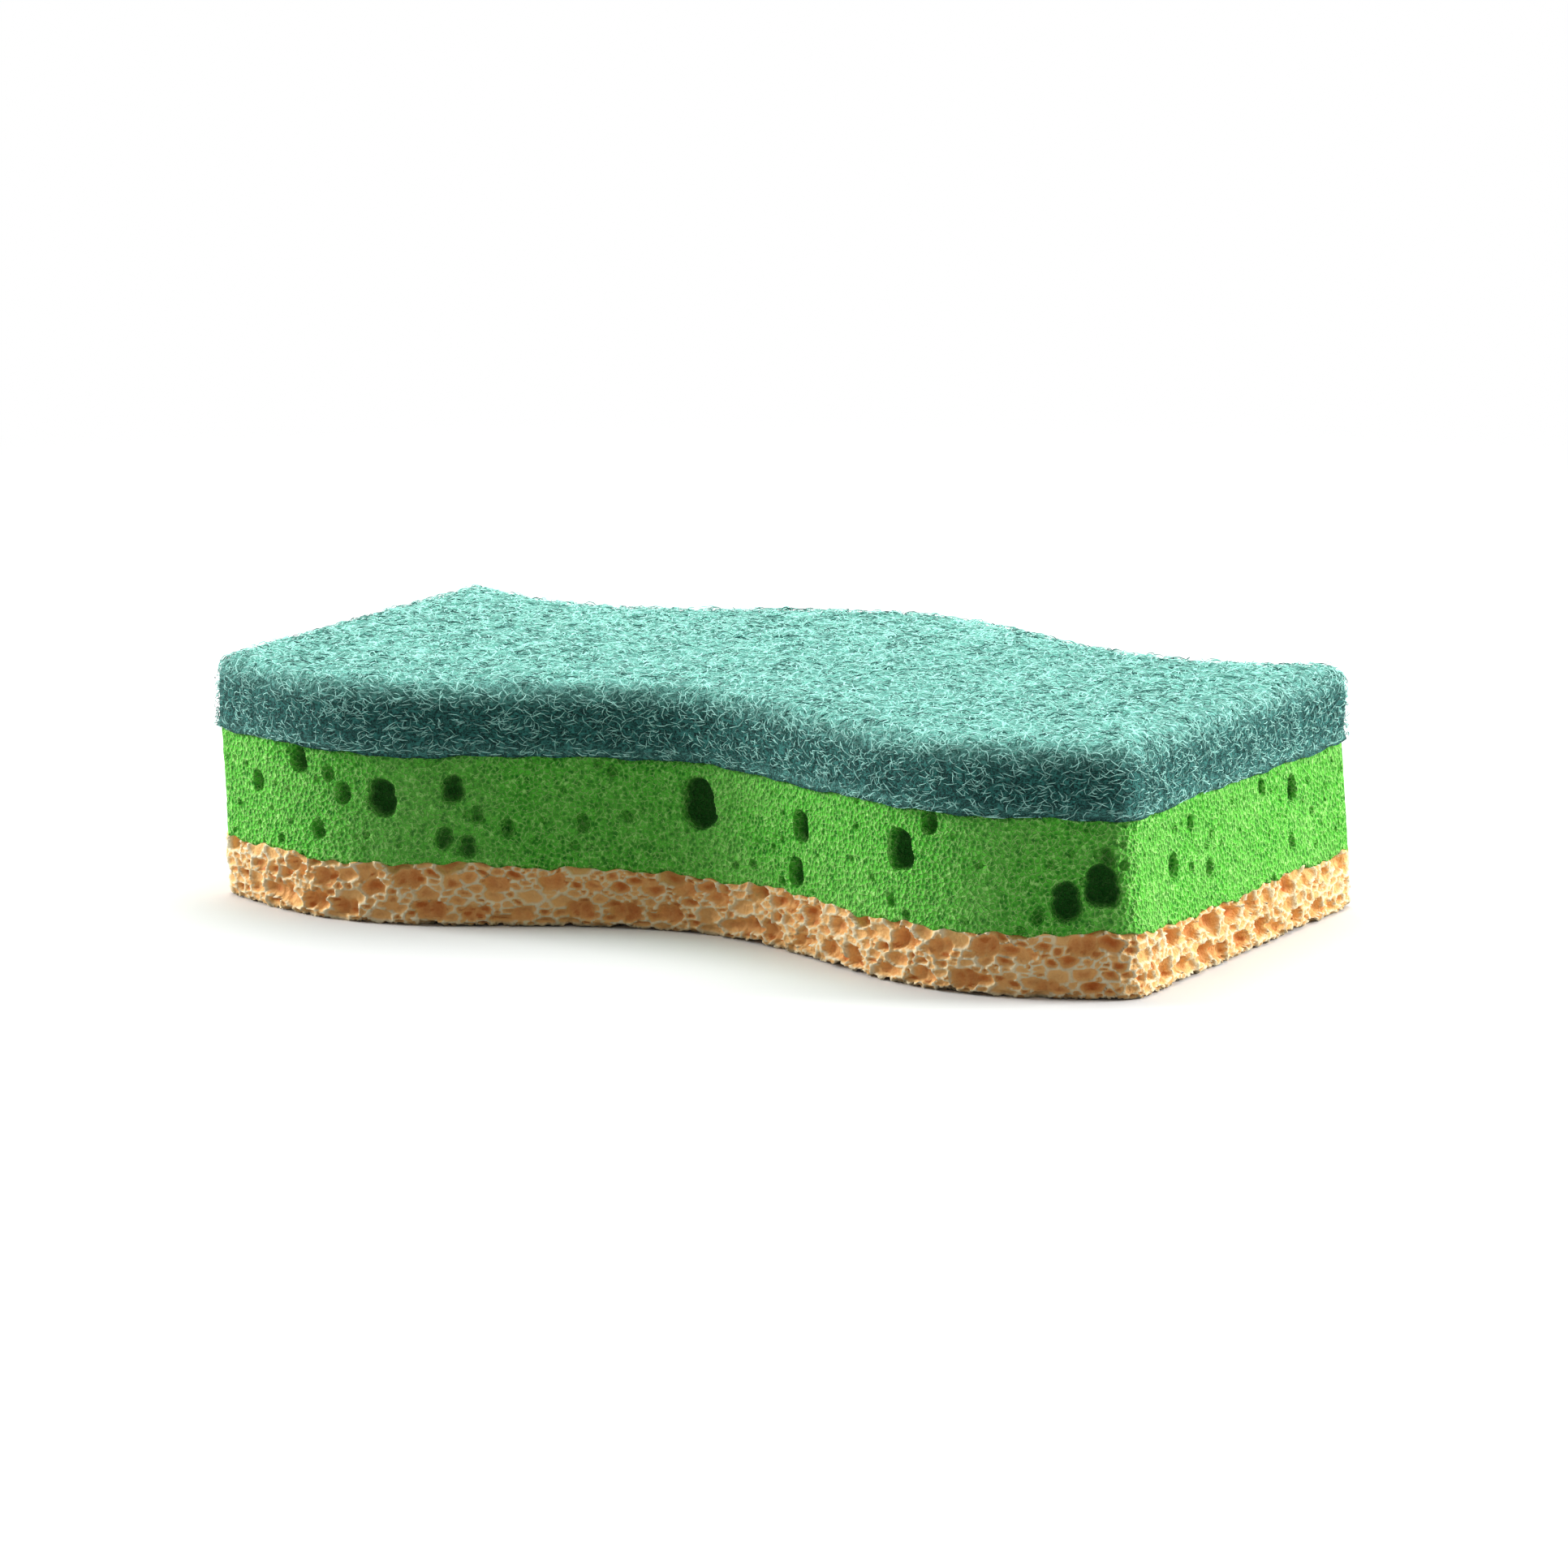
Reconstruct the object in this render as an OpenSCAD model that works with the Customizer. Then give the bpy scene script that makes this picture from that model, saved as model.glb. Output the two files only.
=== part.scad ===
// Cleaning sponge of three bonded layers: a scouring pad on top, a soft foam core and a
// coarse cellulose layer below. The layers are stacked and then cut through together by
// one wavy cutter, so both long sides follow the same wave and neighbours nest in a sheet.
// Origin at the middle of the underside, X along the sponge, Z up through the layers.

/* [Outline] */
// Length of the sponge from end to end
body_l = 120; // [100:1:150]
// Width across each cut end
end_w = 60; // [45:1:80]
// Height of the wave, from its middle line to a crest
wave_h = 6.6; // [2:0.2:9]
// Length of one full wave along a long side
wave_l = 80; // [70:1:100]
// How far the rounding of a front corner runs along its sides
front_corner = 2.5; // [1.5:0.5:6]
// How far the rounding of a back corner runs along its sides
back_corner = 5; // [2:0.5:8]

/* [Layers] */
// Thickness of the scouring pad
pad_t = 8.6; // [6:0.2:12]
// Height that the middle of the scouring pad rises above its rolled edge
pad_crown = 0.4; // [0:0.1:1.5]
// Radius of the rolled upper edge of the scouring pad
pad_roll = 2.8; // [1:0.2:4]
// Thickness of the foam core
foam_t = 13; // [10:0.5:25]
// How far the foam stands back from the pad's edge
foam_inset = 0.5; // [0:0.1:1.5]
// Thickness of the cellulose layer
cellulose_t = 7; // [5:0.5:12]
// How far the cellulose stands back from the pad's edge
cellulose_inset = 0.2; // [0:0.1:1.5]

/* [Foam bubbles] */
// Width of a middling bubble where it opens on the side of the foam
bubble_w = 2.6; // [1.5:0.1:4]
// Height of a bubble as a multiple of its width
bubble_tall = 1.3; // [1.1:0.05:1.6]
// Number of bubbles on each side that is not laid out by hand
bubbles_per_side = 9; // [2:1:14]

/* [Cellulose pores] */
// Thickness of a middling pore
pore_t = 1.9; // [1.2:0.1:2.4]
// Length of a pore as a multiple of its thickness
pore_long = 1.5; // [1.2:0.05:1.6]
// Pitch of the pores along the sides
pore_pitch = 5; // [4.6:0.2:8]
// Number of pore rows through the thickness
pore_rows = 2; // [1:1:3]
// Pitch of the pores over the underside
under_pitch = 11; // [9:0.5:16]

/* [Hidden] */

half_l = body_l / 2;
half_w = end_w / 2;
foam_z = cellulose_t;
pad_z = foam_z + foam_t;

// Turn of the wave in degrees for each millimetre along the sponge
wave_turn = 360 / wave_l;
// Straight steps along one long side, round one corner, up the rolled edge and across
// the pad from its front to its back
wave_steps = 40;
corner_steps = 6;
roll_steps = 6;
cross_steps = 8;
// Least run of a corner's rounding once an inset has used up the rest
least_corner = 0.4;
// Facets round a bubble or pore
hollow_fn = 24;
// Width of a hollow's narrow end against its wide end
narrow_end = 0.9;

// Big bubbles that show on the front of the foam, left to right: place along the half
// length, height as a share of the foam, and size against a middling bubble
front_bubbles = [
    [-0.86, 0.58, 0.8], [-0.74, 0.86, 1.0], [-0.70, 0.28, 0.7], [-0.67, 0.78, 0.6],
    [-0.64, 0.62, 0.8], [-0.56, 0.61, 1.4], [-0.45, 0.24, 0.9], [-0.43, 0.69, 1.1],
    [-0.41, 0.14, 0.9], [-0.39, 0.44, 0.7], [-0.34, 0.34, 0.7], [-0.21, 0.40, 0.7],
    [0.02, 0.64, 1.8], [0.27, 0.20, 1.1], [0.29, 0.62, 1.2], [0.53, 0.18, 0.5],
    [0.56, 0.62, 1.5], [0.63, 0.90, 0.9], [0.83, 0.16, 0.6], [0.88, 0.28, 1.4],
    [0.94, 0.40, 1.6], [0.95, 0.66, 0.8]
];
// The same on the right end, front to back: place across the half width, height and size
right_bubbles = [
    [-0.65, 0.48, 0.9], [-0.50, 0.78, 0.6], [-0.36, 0.32, 0.7], [0.12, 0.86, 0.7],
    [0.37, 0.25, 0.6], [0.40, 0.74, 1.0]
];
// Shares of a side, and sizes against a middling bubble, that scattered bubbles keep to
bubble_reach = 0.88;
bubble_sizes = [0.5, 1.5];
// Sizes against a middling pore, and drift from an even row as a share of its pitch
pore_sizes = [0.65, 1.35];
pore_drift = 0.15;
// Depth of a pore's middle under the surface that it opens on, as a share of its thickness
pore_sunk = 0.15;
// Margin that the side pores keep from the sharp corners, and the pores of the
// underside from its edge
pore_margin = 5;
// Seeds that fix where the scattered bubbles and pores fall
back_seed = 11;
left_seed = 23;
side_seed = 37;
under_seed = 59;

// The wave at a place along the sponge, its slope there, and its lean at the right end
function wave(x) = wave_h * cos(wave_turn * x);
function slope(x) = -wave_h * wave_turn * PI / 180 * sin(wave_turn * x);
end_lean = atan(slope(half_l));

// Y of a long side (side is 1 at the back, -1 at the front), moved in square to the wave
function side_y(x, side, inset) =
    side * half_w + wave(x) - side * inset * sqrt(1 + pow(slope(x), 2));

// Run of a corner's rounding, shortened as the outline is moved in
function corner_run(side, inset) =
    max(least_corner, (side > 0 ? back_corner : front_corner)
        - inset / tan((90 - side * end_lean) / 2));

// A rounded corner from one side to the next, bent towards the sharp corner between them
function bend(from, sharp, to) = [for (i = [0:corner_steps])
    let (s = i / corner_steps)
    pow(1 - s, 2) * from + 2 * s * (1 - s) * sharp + pow(s, 2) * to];

// Corner at one end (1 right, -1 left) of one side, listed from the long side to the end
function corner(end, side, inset) =
    let (
        run = corner_run(side, inset),
        end_x = end * (half_l - inset),
        start_x = end_x - end * run,
        start = [start_x, side_y(start_x, side, inset)],
        sharp = [end_x, start.y + end * run * slope(start_x)]
    ) bend(start, sharp, sharp - [0, side * run]);

// One long side between its corners, listed left to right
function long_side(side, inset) =
    let (reach = half_l - inset - corner_run(side, inset))
    [for (i = [1:wave_steps - 1])
        let (x = reach * (2 * i / wave_steps - 1)) [x, side_y(x, side, inset)]];

function reversed(list) = [for (i = [len(list) - 1:-1:0]) list[i]];

// The front or back edge with its two corners, listed left to right
function edge(side, inset) = concat(
    reversed(corner(-1, side, inset)),
    long_side(side, inset),
    corner(1, side, inset)
);

// The whole outline, anticlockwise from the front left corner
function outline(inset) = concat(edge(-1, inset), reversed(edge(1, inset)));

// Stands children on a long side at x, with their Y pointing out of the sponge
module on_side(x, side, inset)
    translate([x, side_y(x, side, inset), 0])
        rotate([0, 0, atan(slope(x)) + (side < 0 ? 180 : 0)]) children();

// Stands children on an end at y, with their Y pointing out of the sponge
module on_end(y, end, inset)
    translate([end * (half_l - inset), y, 0]) rotate([0, 0, -90 * end]) children();

// A hollow that stands on Z: a wide bubble below that has run into a narrower one above
module hollow(width, height) {
    translate([0, 0, (width - height) / 2]) sphere(d = width, $fn = hollow_fn);
    translate([0, 0, (height - narrow_end * width) / 2])
        sphere(d = narrow_end * width, $fn = hollow_fn);
}

// A bubble of the foam, at a share of the foam's height
module bubble(up, size)
    translate([0, 0, foam_z + up * foam_t])
        hollow(size * bubble_w, size * bubble_w * bubble_tall);

// The bright core: plain cut sides with the bubbles opening on them
module foam_core() {
    back_places = rands(-bubble_reach, bubble_reach, bubbles_per_side, back_seed);
    left_places = rands(-bubble_reach, bubble_reach, bubbles_per_side, left_seed);
    heights = rands(1 - bubble_reach, bubble_reach, bubbles_per_side, back_seed + 1);
    sizes = rands(bubble_sizes[0], bubble_sizes[1], bubbles_per_side, left_seed + 1);
    color("limegreen")
    difference() {
        translate([0, 0, foam_z]) linear_extrude(foam_t) polygon(outline(foam_inset));
        for (b = front_bubbles) on_side(b[0] * half_l, -1, foam_inset) bubble(b[1], b[2]);
        for (b = right_bubbles) on_end(b[0] * half_w, 1, foam_inset) bubble(b[1], b[2]);
        for (i = [0:bubbles_per_side - 1]) {
            on_side(back_places[i] * half_l, 1, foam_inset) bubble(heights[i], sizes[i]);
            on_end(left_places[i] * half_w, -1, foam_inset) bubble(heights[i], sizes[i]);
        }
    }
}

// A pore of the cellulose, lying along the side that it opens on, its narrow end either way
module pore(size, turned)
    translate([0, -pore_sunk * pore_t * size, 0])
        rotate([0, turned ? -90 : 90, 0])
            hollow(size * pore_t, size * pore_t * pore_long);

// Rows of pores along a stretch, every second row shifted by half a pitch. Each pore is
// given to the children as $along, $up, $size and $turned.
module pore_grid(length, seed) {
    count = floor(length / pore_pitch);
    for (row = [0:pore_rows - 1]) {
        sizes = rands(pore_sizes[0], pore_sizes[1], count, seed + row);
        drifts = rands(-pore_drift, pore_drift, count, seed + row + pore_rows);
        for (i = [0:count - 1]) {
            $along = length * ((i + 0.25 + drifts[i] + (row % 2) / 2) / count - 0.5);
            $up = cellulose_t * (row + 0.5 + drifts[i]) / pore_rows;
            $size = sizes[i];
            $turned = drifts[i] < 0;
            children();
        }
    }
}

// Round pores over the underside, in staggered rows that stop short of its edge
module under_pores() {
    columns = ceil(half_l / under_pitch);
    rows = ceil((half_w + wave_h) / under_pitch);
    for (row = [-rows:rows]) {
        sizes = rands(pore_sizes[0], pore_sizes[1], 2 * columns, under_seed + row);
        for (i = [0:2 * columns - 1]) {
            x = (i + 0.5 - columns + (row % 2) / 2) * under_pitch;
            y = (row + pore_drift * sin(360 * sizes[i])) * under_pitch;
            if (abs(x) < half_l - pore_margin
                && y > side_y(x, -1, pore_margin) && y < side_y(x, 1, pore_margin))
                translate([x, y, 0]) sphere(d = sizes[i] * pore_t, $fn = hollow_fn);
        }
    }
}

// The coarse lower layer: pores open all round its edge and over its underside
module cellulose_layer()
    color("burlywood")
    difference() {
        linear_extrude(cellulose_t) polygon(outline(cellulose_inset));
        for (side = [-1, 1])
            pore_grid(body_l - 2 * pore_margin, side_seed + side)
                on_side($along, side, cellulose_inset)
                    translate([0, 0, $up]) pore($size, $turned);
        for (end = [-1, 1])
            pore_grid(end_w - 2 * pore_margin, side_seed + 20 * end)
                on_end($along, end, cellulose_inset)
                    translate([0, 0, $up]) pore($size, $turned);
        under_pores();
    }

// Steps from a to b without either of them, for the straight ends of the pad
function between(a, b) = [for (r = [1:cross_steps - 1]) a + (b - a) * r / cross_steps];

// One level of the pad's wall: the outline with its straight ends divided
function wall_ring(inset) =
    let (front = edge(-1, inset), back = edge(1, inset), last = len(front) - 1)
    concat(front, between(front[last], back[last]), reversed(back), between(back[0], front[0]));

// Number of the point where rib j meets cross step r: on a ring that starts at point ring,
// or inside it among the points that start at point inner
function rib_point(j, r, ribs, ring, inner) =
    r == 0 ? ring + j
    : r == cross_steps ? ring + 2 * ribs + cross_steps - 2 - j
    : j == ribs - 1 ? ring + ribs + r - 1
    : j == 0 ? ring + 2 * ribs + 2 * cross_steps - 2 - r
    : inner + (j - 1) * (cross_steps - 1) + r - 1;

// Points of a face inside its ring: ribs from front to back, raised towards the middle
function rib_points(inset, z, crown) =
    let (front = edge(-1, inset), back = edge(1, inset), last = len(front) - 1)
    [for (j = [1:last - 1]) for (r = [1:cross_steps - 1])
        let (
            p = front[j] + (back[j] - front[j]) * r / cross_steps,
            along = 2 * j / last - 1,
            across = 2 * r / cross_steps - 1
        ) [p.x, p.y, z + crown * (1 - pow(along, 4)) * (1 - pow(across, 2))]];

// Triangles over a face, wound to look up, or down when flipped
function rib_faces(ribs, ring, inner, flipped) =
    [for (j = [0:ribs - 2]) for (r = [0:cross_steps - 1]) for (half = [0, 1])
        let (
            a = rib_point(j, r, ribs, ring, inner),
            b = rib_point(j, r + 1, ribs, ring, inner),
            c = rib_point(j + 1, r + 1, ribs, ring, inner),
            d = rib_point(j + 1, r, ribs, ring, inner),
            face = half == 0 ? [a, b, c] : [a, c, d]
        ) flipped ? reversed(face) : face];

// The abrasive pad: the outline stacked up, straight at first and then in along the roll,
// closed by a flat underside and a slightly crowned top
module scouring_pad() {
    levels = concat([[0, 0]], [for (i = [0:roll_steps])
        let (turn = 90 * i / roll_steps)
        [pad_roll * (1 - cos(turn)), pad_t - pad_roll * (1 - sin(turn))]]);
    ribs = len(edge(-1, 0));
    ring = len(wall_ring(0));
    top_level = len(levels) - 1;
    walls = [for (k = [0:top_level - 1]) for (i = [0:ring - 1]) for (half = [0, 1])
        let (
            next = (i + 1) % ring,
            low = k * ring,
            high = low + ring
        ) half == 0 ? [low + i, high + i, high + next] : [low + i, high + next, low + next]];
    wall_points = [for (level = levels) for (p = wall_ring(level[0])) [p.x, p.y, level[1]]];
    under_points = rib_points(0, 0, 0);
    top_points = rib_points(pad_roll, pad_t, pad_crown);
    under_start = len(wall_points);
    top_start = under_start + len(under_points);
    color("mediumaquamarine")
        translate([0, 0, pad_z])
            polyhedron(
                points = concat(wall_points, under_points, top_points),
                faces = concat(
                    walls,
                    rib_faces(ribs, 0, under_start, true),
                    rib_faces(ribs, top_level * ring, top_start, false)
                )
            );
}

cellulose_layer();
foam_core();
scouring_pad();
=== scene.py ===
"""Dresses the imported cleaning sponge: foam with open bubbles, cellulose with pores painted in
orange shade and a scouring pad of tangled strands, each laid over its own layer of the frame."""

import logging
import math
from contextlib import contextmanager
from dataclasses import dataclass, field
from enum import Enum
from typing import Callable, Iterator

import bpy
import numpy as np
from bpy.types import ID, Material, Node, NodeSocket, Object, World, bpy_prop_collection
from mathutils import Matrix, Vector, noise
from mathutils.bvhtree import BVHTree


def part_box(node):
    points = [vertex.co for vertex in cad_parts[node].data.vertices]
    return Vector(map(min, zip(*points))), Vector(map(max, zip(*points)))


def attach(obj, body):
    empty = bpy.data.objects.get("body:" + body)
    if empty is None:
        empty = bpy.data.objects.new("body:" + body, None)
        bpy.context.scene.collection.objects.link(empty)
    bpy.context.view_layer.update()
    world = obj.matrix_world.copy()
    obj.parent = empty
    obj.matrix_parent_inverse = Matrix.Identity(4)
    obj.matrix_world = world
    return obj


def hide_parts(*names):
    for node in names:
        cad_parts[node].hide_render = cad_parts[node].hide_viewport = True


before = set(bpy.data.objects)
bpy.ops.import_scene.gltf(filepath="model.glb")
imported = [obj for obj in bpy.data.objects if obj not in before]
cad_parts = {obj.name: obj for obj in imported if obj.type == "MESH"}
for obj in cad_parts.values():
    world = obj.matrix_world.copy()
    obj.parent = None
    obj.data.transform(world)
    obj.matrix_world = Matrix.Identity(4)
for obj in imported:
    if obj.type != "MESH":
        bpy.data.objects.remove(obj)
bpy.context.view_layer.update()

Array = np.ndarray
Pair = tuple[float, float]
PoreClasses = tuple[tuple[float, float, int], ...]

MM = 0.001
MERGED = 0.0005 * MM  # points this near become one
WHOLE = 1e-3  # a place this little short of a column or row counts as on it
BODY = "root"
log = logging.getLogger("sponge")


class Side(Enum):
    """The two long sides, as the sign of the Y that each lies on."""

    FRONT = -1
    BACK = 1


def tint(*channels: float) -> tuple[float, ...]:
    """An opaque colour in linear light, from red, green and blue of 0 to 255 on a screen."""
    shares = (channel / 255 for channel in channels)
    return (*(c / 12.92 if c <= 0.04045 else ((c + 0.055) / 1.055) ** 2.4 for c in shares), 1.0)


@dataclass(frozen=True)
class Ripple:
    """Smooth noise: width of a swell in metres, height in millimetres, place in the noise."""

    size: float
    height: float
    seed: float

    def at(self, points: Array) -> Array:
        """How high the noise stands at each point, in millimetres."""
        shift = Vector((self.seed, self.seed * 1.7, self.seed * 0.6))
        return np.array([noise.noise(Vector(p) + shift) for p in points / self.size]) * self.height


def swell(points: Array, *ripples: Ripple) -> Array:
    """How far some ripples together lift each point, in metres."""
    return sum(ripple.at(points) for ripple in ripples) * MM


@dataclass(frozen=True)
class Outline:
    """The wavy outline that one cutter gives all three layers."""

    length: float
    end_width: float
    wave_height: float = 6.6 * MM
    wave_length: float = 80 * MM
    front_corner: float = 2.5 * MM
    back_corner: float = 5 * MM
    least_corner: float = 0.4 * MM

    @classmethod
    def of_node(cls, node: str) -> "Outline":
        """The outline of a node of the frame that reaches the full length and width."""
        low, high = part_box(node)
        return cls(high.x - low.x, high.y - low.y - 2 * cls.wave_height)

    def wave(self, x: Array) -> Array:
        """Height of the wave at a place along the sponge."""
        return self.wave_height * np.cos(2 * np.pi * x / self.wave_length)

    def slope(self, x: Array) -> Array:
        """Slope of the wave at a place along the sponge."""
        turn = 2 * np.pi / self.wave_length
        return -self.wave_height * turn * np.sin(turn * x)

    def side_y(self, x: Array, side: Side, inset: float) -> Array:
        """Y of a long side at x, moved in square to the wave by inset."""
        across = self.end_width / 2 - inset * np.sqrt(1 + self.slope(x) ** 2)
        return side.value * across + self.wave(x)

    def corner_run(self, side: Side, inset: float) -> float:
        """How far a corner's rounding runs once the outline is moved in by inset."""
        run = self.back_corner if side is Side.BACK else self.front_corner
        lean = math.atan(self.slope(self.length / 2))
        return max(self.least_corner, run - inset / math.tan((math.pi / 2 - side.value * lean) / 2))

    def corner(self, end: int, side: Side, inset: float, count: int) -> Array:
        """A rounded corner from the long side to the end.

        Args:
            end: 1 for the right end, -1 for the left.
            side: The long side that the corner starts on.
            inset: How far the outline is moved in.
            count: Number of steps.

        Returns:
            count + 1 points, both ends included.
        """
        run = self.corner_run(side, inset)
        end_x = end * (self.length / 2 - inset)
        start_x = end_x - end * run
        start = np.array([start_x, self.side_y(start_x, side, inset)])
        sharp = np.array([end_x, start[1] + end * run * self.slope(start_x)])
        stop = sharp - np.array([0, side.value * run])
        s = np.linspace(0, 1, count + 1)[:, None]
        return (1 - s) ** 2 * start + 2 * s * (1 - s) * sharp + s**2 * stop

    def long_side(self, side: Side, inset: float, count: int) -> Array:
        """One long side between its corners, left to right, as count + 1 points."""
        reach = self.length / 2 - inset - self.corner_run(side, inset)
        x = np.linspace(-reach, reach, count + 1)
        return np.column_stack([x, self.side_y(x, side, inset)])

    def ring(self, inset: float, spacing: float) -> Array:
        """The whole outline, anticlockwise, with the same number of points at any inset.

        Args:
            inset: How far the outline is moved in.
            spacing: Distance between points where the inset is 0.

        Returns:
            One row a point, the first repeated at the end.
        """
        along = round(1.05 * self.length / spacing)
        across = round(self.end_width / spacing)
        turn = {
            Side.FRONT: round(1.8 * self.front_corner / spacing),
            Side.BACK: round(1.5 * self.back_corner / spacing),
        }
        pairs = [(end, side) for end in (-1, 1) for side in Side]
        corners = {(end, side): self.corner(end, side, inset, turn[side]) for end, side in pairs}
        share = np.linspace(0, 1, across + 1)[:, None]
        right, left = (
            corners[end, first][-1] * (1 - share) + corners[end, last][-1] * share
            for end, first, last in ((1, Side.FRONT, Side.BACK), (-1, Side.BACK, Side.FRONT))
        )
        front, back = (self.long_side(side, inset, along) for side in Side)
        stretches = [corners[-1, Side.FRONT][::-1], front, corners[1, Side.FRONT], right]
        stretches += [corners[1, Side.BACK][::-1], back[::-1], corners[-1, Side.BACK], left]
        ring = np.concatenate([stretch[:-1] for stretch in stretches])
        return np.concatenate([ring, ring[:1]])


@dataclass(frozen=True)
class Seam:
    """The gently uneven line where two layers are bonded, as harmonics round the sponge."""

    height: float
    harmonics: tuple[tuple[int, float, float], ...]

    def lift(self, share: Array) -> Array:
        """How far the seam stands above its height, at a share of the way round."""
        return sum(
            depth * MM * np.sin(2 * np.pi * count * share + shift)
            for count, depth, shift in self.harmonics
        )


class Band:
    """A layer's side, rolled out flat: columns run round the outline, rows up a section."""

    def __init__(
        self, outline: Outline, spacing: float, inset: Array, height: Array, drop: Array
    ) -> None:
        """Carries a section round the outline.

        Args:
            outline: The outline.
            spacing: Distance between columns.
            inset: Inset of each row.
            height: Height of each row.
            drop: How far the outward normal of each row looks down from level, in radians.
        """
        outer = outline.ring(min(inset), spacing)
        steps = np.diff(outer, axis=0)
        self.round_way = np.r_[0.0, np.cumsum(np.hypot(*steps.T))]
        self.up_way = np.r_[0.0, np.cumsum(np.hypot(np.diff(inset), np.diff(height)))]
        along = outer[np.r_[1 : len(outer), 1]] - outer[np.r_[-2, 0 : len(outer) - 1]]
        out = np.column_stack([along[:, 1], -along[:, 0]])
        out /= np.linalg.norm(out, axis=1)[:, None]
        flat = np.ones(len(outer))
        self.places = np.stack(
            [np.column_stack([outline.ring(i, spacing), z * flat]) for i, z in zip(inset, height)]
        )
        self.ways = np.stack(
            [np.column_stack([out * math.cos(a), -math.sin(a) * flat]) for a in drop]
        )
        self.columns = len(outer) - 1
        self.rows = len(inset) - 1

    def under(self, sheet: "Sheet") -> tuple[Array, Array, Array, Array]:
        """Where the points of a sheet lie on the band.

        Args:
            sheet: A sheet of the band's columns and rows, refined or not.

        Returns:
            Column, row, place and outward normal of each point.
        """
        column, row = sheet.spots()
        left = np.clip(np.floor(column + WHOLE).astype(int), 0, self.columns - 1)
        low = np.clip(np.floor(row + WHOLE).astype(int), 0, self.rows - 1)
        a, b = (column - left)[:, None], (row - low)[:, None]
        found = []
        for values in (self.places, self.ways):
            lower = values[low, left] * (1 - a) + values[low, left + 1] * a
            upper = values[low + 1, left] * (1 - a) + values[low + 1, left + 1] * a
            found.append(lower * (1 - b) + upper * b)
        return column, row, *found


def select_only(*pieces: Object) -> None:
    """Selects these pieces alone and makes the first of them the active one."""
    bpy.ops.object.select_all(action="DESELECT")
    for piece in pieces:
        piece.select_set(True)
    bpy.context.view_layer.objects.active = pieces[0]


@contextmanager
def editing(piece: Object, kind: str = "VERT") -> Iterator[None]:
    """Makes a piece the only selected object, and opens and closes edit mode on it.

    Args:
        piece: The piece.
        kind: What is selected in edit mode, VERT or FACE.

    Yields:
        Nothing, while edit mode is open.
    """
    select_only(piece)
    bpy.context.tool_settings.mesh_select_mode = (kind == "VERT", False, kind == "FACE")
    bpy.ops.object.mode_set(mode="EDIT")
    yield
    bpy.ops.object.mode_set(mode="OBJECT")


@dataclass
class Sheet:
    """A flat grid of a band or face, which can be refined where it has detail."""

    name: str
    columns: int
    rows: int
    piece: Object = field(init=False)

    def __post_init__(self) -> None:
        """Adds the grid."""
        bpy.ops.object.select_all(action="DESELECT")
        bpy.ops.mesh.primitive_grid_add(
            x_subdivisions=self.columns, y_subdivisions=self.rows, size=2
        )
        self.piece = bpy.context.object
        self.piece.name = self.piece.data.name = self.name

    def spots(self) -> tuple[Array, Array]:
        """Column and row of each point, whole or not."""
        x, y, _ = read_rows(self.piece.data.vertices, "co", 3).T
        return (x + 1) / 2 * self.columns, (y + 1) / 2 * self.rows

    def refine(self, wanted: Array, cuts: int) -> None:
        """Divides the faces that have a wanted point, away from the edges of the grid.

        Args:
            wanted: True for each point that needs detail round it.
            cuts: Number of cuts.
        """
        mesh = self.piece.data
        column, row = self.spots()
        inner = (column > 3) & (column < self.columns - 3) & (row > 0.5) & (row < self.rows - 0.5)
        corners = read_rows(mesh.loops, "vertex_index", 1, np.int32).reshape(-1, 4)
        chosen = wanted[corners].any(axis=1) & inner[corners].all(axis=1)
        with editing(self.piece, "FACE"):
            bpy.ops.mesh.select_all(action="DESELECT")
        mesh.polygons.foreach_set("select", chosen)
        with editing(self.piece, "FACE"):
            bpy.ops.mesh.subdivide(number_cuts=cuts)


def read_rows(items: bpy_prop_collection, name: str, width: int, kind: type = float) -> Array:
    """A property of many mesh items as an array with rows of a width."""
    flat = np.empty(len(items) * width, dtype=kind)
    items.foreach_get(name, flat)
    return flat.reshape(-1, width)


def mark(piece: Object, name: str, values: Array) -> None:
    """Stores one number a point on a piece, for its material to read."""
    layer = piece.data.attributes.new(name, "FLOAT", "POINT")
    layer.data.foreach_set("value", np.asarray(values, dtype=np.float32).ravel())


def select_open() -> None:
    """In edit mode, merges points that meet and selects the edges that stay open."""
    bpy.ops.mesh.select_all(action="SELECT")
    bpy.ops.mesh.remove_doubles(threshold=MERGED)
    bpy.ops.mesh.select_all(action="DESELECT")
    bpy.ops.mesh.select_non_manifold()


def lay(piece: Object, places: Array, **marks: Array) -> Object:
    """Moves each point of a piece to its place and stores numbers on the points.

    Args:
        piece: The piece.
        places: One row a point.
        marks: Numbers for the material to read.

    Returns:
        The piece.
    """
    piece.data.vertices.foreach_set("co", places.ravel())
    for name, values in marks.items():
        mark(piece, name, values)
    piece.data.update()
    return piece


def close_up(piece: Object) -> None:
    """Merges a piece's edges where they meet, fills what stays open and faces it outwards."""
    with editing(piece):
        select_open()
        bpy.ops.mesh.fill_holes(sides=0)
        bpy.ops.mesh.select_all(action="SELECT")
        bpy.ops.mesh.normals_make_consistent(inside=False)
    bpy.ops.object.shade_smooth()


def linked(data: ID) -> Object:
    """A new object of the scene for some data, under the data's name."""
    piece = bpy.data.objects.new(data.name, data)
    bpy.context.scene.collection.objects.link(piece)
    return piece


def join(pieces: list[Object]) -> Object:
    """Joins pieces into the first of them."""
    select_only(*pieces)
    bpy.ops.object.join()
    return pieces[0]


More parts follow.
